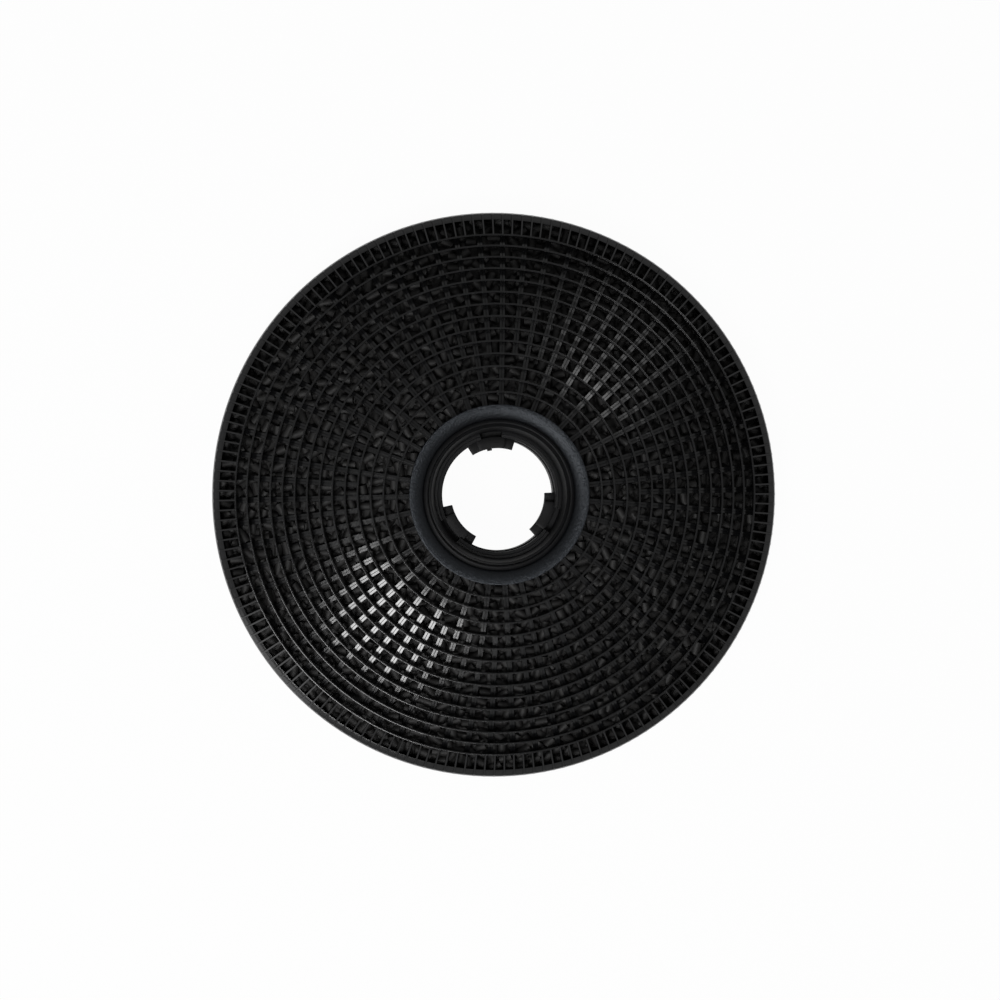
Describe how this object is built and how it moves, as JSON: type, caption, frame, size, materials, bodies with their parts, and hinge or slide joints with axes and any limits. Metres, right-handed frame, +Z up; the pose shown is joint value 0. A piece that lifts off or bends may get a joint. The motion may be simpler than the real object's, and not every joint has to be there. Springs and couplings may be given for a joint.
{
  "type": "cooker hood carbon filter",
  "caption": "Round domed charcoal filter cassette for a cooker hood: two ribbed black plastic grilles with carbon pellets between them and a bayonet hub hole in the middle.",
  "frame": {"origin": "middle of the underside, on the surface that the rim rests on", "axes": "+Z up along the hub's axis, out of the domed front; +Y towards the first rib"},
  "size_m": [0.233, 0.2328, 0.04],
  "materials": {
    "front_plastic": "satin black moulded plastic",
    "back_plastic": "satin black moulded plastic",
    "carbon": "dull grey-black carbon pellets"
  },
  "bodies": {
    "root": {"front_grille": "front_plastic", "back_grille": "back_plastic", "carbon_bed": "carbon"}
  },
  "joints": []
}
